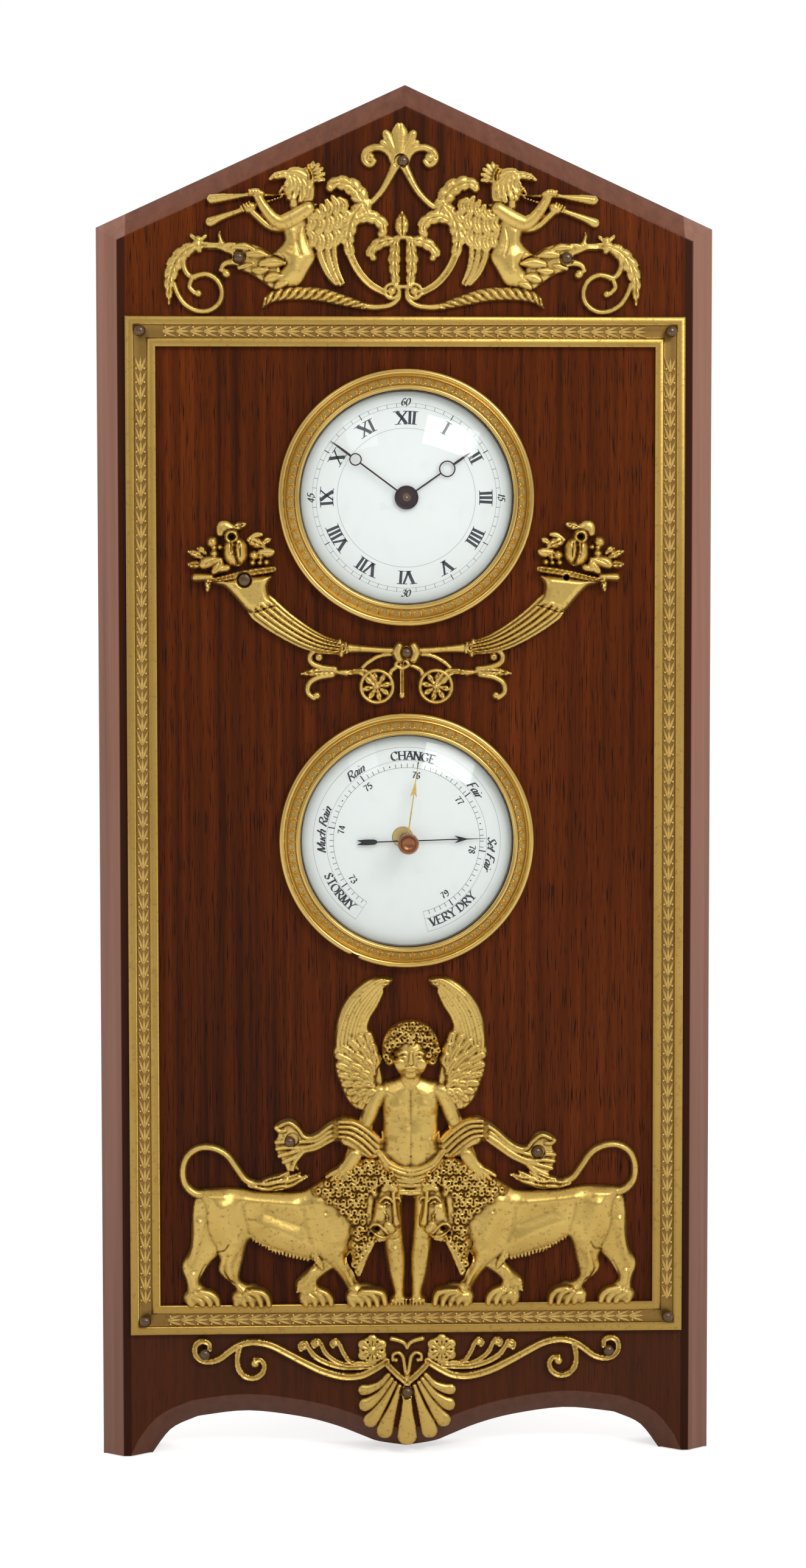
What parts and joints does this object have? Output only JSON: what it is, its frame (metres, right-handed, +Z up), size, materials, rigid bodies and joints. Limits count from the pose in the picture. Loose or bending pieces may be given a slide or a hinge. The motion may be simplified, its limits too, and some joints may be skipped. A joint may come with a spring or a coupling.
{
  "type": "barometer clock",
  "caption": "Gabled wooden tablet with gilt relief mounts, a drum clock above an aneroid barometer and a folding brass strut behind.",
  "frame": {"origin": "middle of the object's depth and width on the floor that it stands on", "axes": "+Z up along the board, -Y out of the dials towards the viewer, +X to the viewer's right"},
  "size_m": [0.1694, 0.0791, 0.379],
  "materials": {
    "mahogany": "old satin varnish over dark open pores",
    "gilt_brass": "matt gilt with brown patina in the hollows",
    "dark_pin": "worn brown metal",
    "clear_glass": "clear polished dome",
    "white_dial": "smooth cool white with black print",
    "blued_steel": "dark blued steel",
    "polished_steel": "plain steel",
    "plain_brass": "plain turned brass",
    "copper_knob": "copper-coloured knurled brass"
  },
  "bodies": {
    "clock_case": {"aneroid_capsule": "polished_steel", "apron_mount": "gilt_brass", "apron_pin_1": "dark_pin", "apron_pin_2": "dark_pin", "apron_pin_3": "dark_pin", "back_plate": "plain_brass", "balance_cock": "plain_brass", "barometer_bezel": "gilt_brass", "barometer_clamp_ring": "plain_brass", "barometer_dial": "white_dial", "barometer_drum": "plain_brass", "barometer_glass": "clear_glass", "board": "mahogany", "border_frame": "gilt_brass", "border_pin_1": "dark_pin", "border_pin_2": "dark_pin", "border_pin_3": "dark_pin", "border_pin_4": "dark_pin", "clock_back_cover": "plain_brass", "clock_bezel": "gilt_brass", "clock_clamp_ring": "plain_brass", "clock_dial": "white_dial", "clock_drum": "plain_brass", "clock_glass": "clear_glass", "cornucopia_mount": "gilt_brass", "cornucopia_pin_1": "dark_pin", "cornucopia_pin_2": "dark_pin", "front_plate": "plain_brass", "glass_bush": "plain_brass", "hinge_leaf": "plain_brass", "lion_mount": "gilt_brass", "lion_pin_1": "dark_pin", "lion_pin_2": "dark_pin", "movement_base": "plain_brass", "pediment_mount": "gilt_brass", "pediment_pin_1": "dark_pin", "pediment_pin_2": "dark_pin", "pediment_pin_3": "dark_pin", "steel_spring": "polished_steel", "strut_hinge_pin": "polished_steel"},
    "strut": {"strut": "plain_brass"},
    "minute_work": {"cannon_pinion": "polished_steel", "minute_hand": "blued_steel", "hand_collet": "polished_steel", "set_hands_knob": "plain_brass"},
    "hour_work": {"hour_wheel": "plain_brass", "hour_hand": "blued_steel"},
    "minute_wheel": {"minute_wheel": "plain_brass"},
    "centre_wheel": {"centre_wheel": "plain_brass"},
    "third_wheel": {"third_wheel": "plain_brass"},
    "fourth_wheel": {"fourth_wheel": "plain_brass"},
    "escape_wheel": {"escape_wheel": "polished_steel"},
    "mainspring_barrel": {"mainspring_barrel": "plain_brass"},
    "winding_key": {"winding_key": "polished_steel"},
    "pallet_lever": {"pallet_lever": "polished_steel"},
    "balance_wheel": {"balance_wheel": "plain_brass"},
    "pressure_hand": {"pressure_hand": "blued_steel"},
    "rocking_lever": {"rocking_lever": "polished_steel"},
    "set_hand": {"set_hand": "gilt_brass", "set_hand_knob": "copper_knob"}
  },
  "joints": [
    {"name": "strut_fold", "type": "hinge", "parent": "clock_case", "child": "strut", "pos_m": [0, -0.00522, 0.122], "axis": [1, 0, 0], "range_deg": [-19.04, 0]},
    {"name": "fourth_wheel_spin", "type": "hinge", "parent": "clock_case", "child": "fourth_wheel", "pos_m": [0.01355, -0.02413, 0.27259], "axis": [0, 1, 0], "continuous": true},
    {"name": "third_wheel_spin", "type": "hinge", "parent": "clock_case", "child": "third_wheel", "pos_m": [0.0054, -0.02413, 0.27555], "axis": [0, 1, 0], "continuous": true},
    {"name": "centre_wheel_spin", "type": "hinge", "parent": "clock_case", "child": "centre_wheel", "pos_m": [0, -0.02413, 0.2662], "axis": [0, 1, 0], "continuous": true},
    {"name": "barrel_spin", "type": "hinge", "parent": "clock_case", "child": "mainspring_barrel", "pos_m": [-0.01042, -0.02413, 0.2589], "axis": [0, 1, 0], "continuous": true},
    {"name": "escape_wheel_spin", "type": "hinge", "parent": "clock_case", "child": "escape_wheel", "pos_m": [0.01486, -0.02413, 0.26511], "axis": [0, 1, 0], "continuous": true},
    {"name": "winding", "type": "hinge", "parent": "clock_case", "child": "winding_key", "pos_m": [-0.01042, -0.02413, 0.2589], "axis": [0, 1, 0], "continuous": true},
    {"name": "minute_work_spin", "type": "hinge", "parent": "clock_case", "child": "minute_work", "pos_m": [0, -0.02413, 0.2662], "axis": [0, 1, 0], "continuous": true},
    {"name": "minute_wheel_spin", "type": "hinge", "parent": "clock_case", "child": "minute_wheel", "pos_m": [0.00552, -0.02413, 0.26157], "axis": [0, 1, 0], "continuous": true},
    {"name": "hour_work_spin", "type": "hinge", "parent": "clock_case", "child": "hour_work", "pos_m": [0, -0.02413, 0.2662], "axis": [0, 1, 0], "continuous": true},
    {"name": "pallet_rock", "type": "hinge", "parent": "clock_case", "child": "pallet_lever", "pos_m": [0.01352, -0.02413, 0.26009], "axis": [0, 1, 0], "range_deg": [-6, 6]},
    {"name": "balance_swing", "type": "hinge", "parent": "clock_case", "child": "balance_wheel", "pos_m": [0.0113, -0.02413, 0.25398], "axis": [0, 1, 0], "range_deg": [-270, 270], "stiffness_Nm_per_rad": 0.0000016},
    {"name": "pressure_hand_swing", "type": "hinge", "parent": "clock_case", "child": "pressure_hand", "pos_m": [0, -0.02413, 0.172], "axis": [0, 1, 0], "range_deg": [-235.3, 78.7], "stiffness_Nm_per_rad": 0.0001},
    {"name": "lever_rock", "type": "hinge", "parent": "clock_case", "child": "rocking_lever", "pos_m": [0, -0.01112, 0.172], "axis": [1, 0, 0], "range_deg": [-6.6, 2.3]},
    {"name": "set_hand_spin", "type": "hinge", "parent": "clock_case", "child": "set_hand", "pos_m": [0, -0.02413, 0.172], "axis": [0, 1, 0], "continuous": true}
  ],
  "couplings": [
    {"joint": "third_wheel_spin", "follows": "fourth_wheel_spin", "ratio": -0.13333},
    {"joint": "centre_wheel_spin", "follows": "fourth_wheel_spin", "ratio": 0.016667},
    {"joint": "barrel_spin", "follows": "fourth_wheel_spin", "ratio": -0.002381},
    {"joint": "escape_wheel_spin", "follows": "fourth_wheel_spin", "ratio": -10},
    {"joint": "minute_wheel_spin", "follows": "minute_work_spin", "ratio": -0.33333},
    {"joint": "hour_work_spin", "follows": "minute_work_spin", "ratio": 0.083333},
    {"joint": "lever_rock", "follows": "pressure_hand_swing", "ratio": 0.027778}
  ]
}
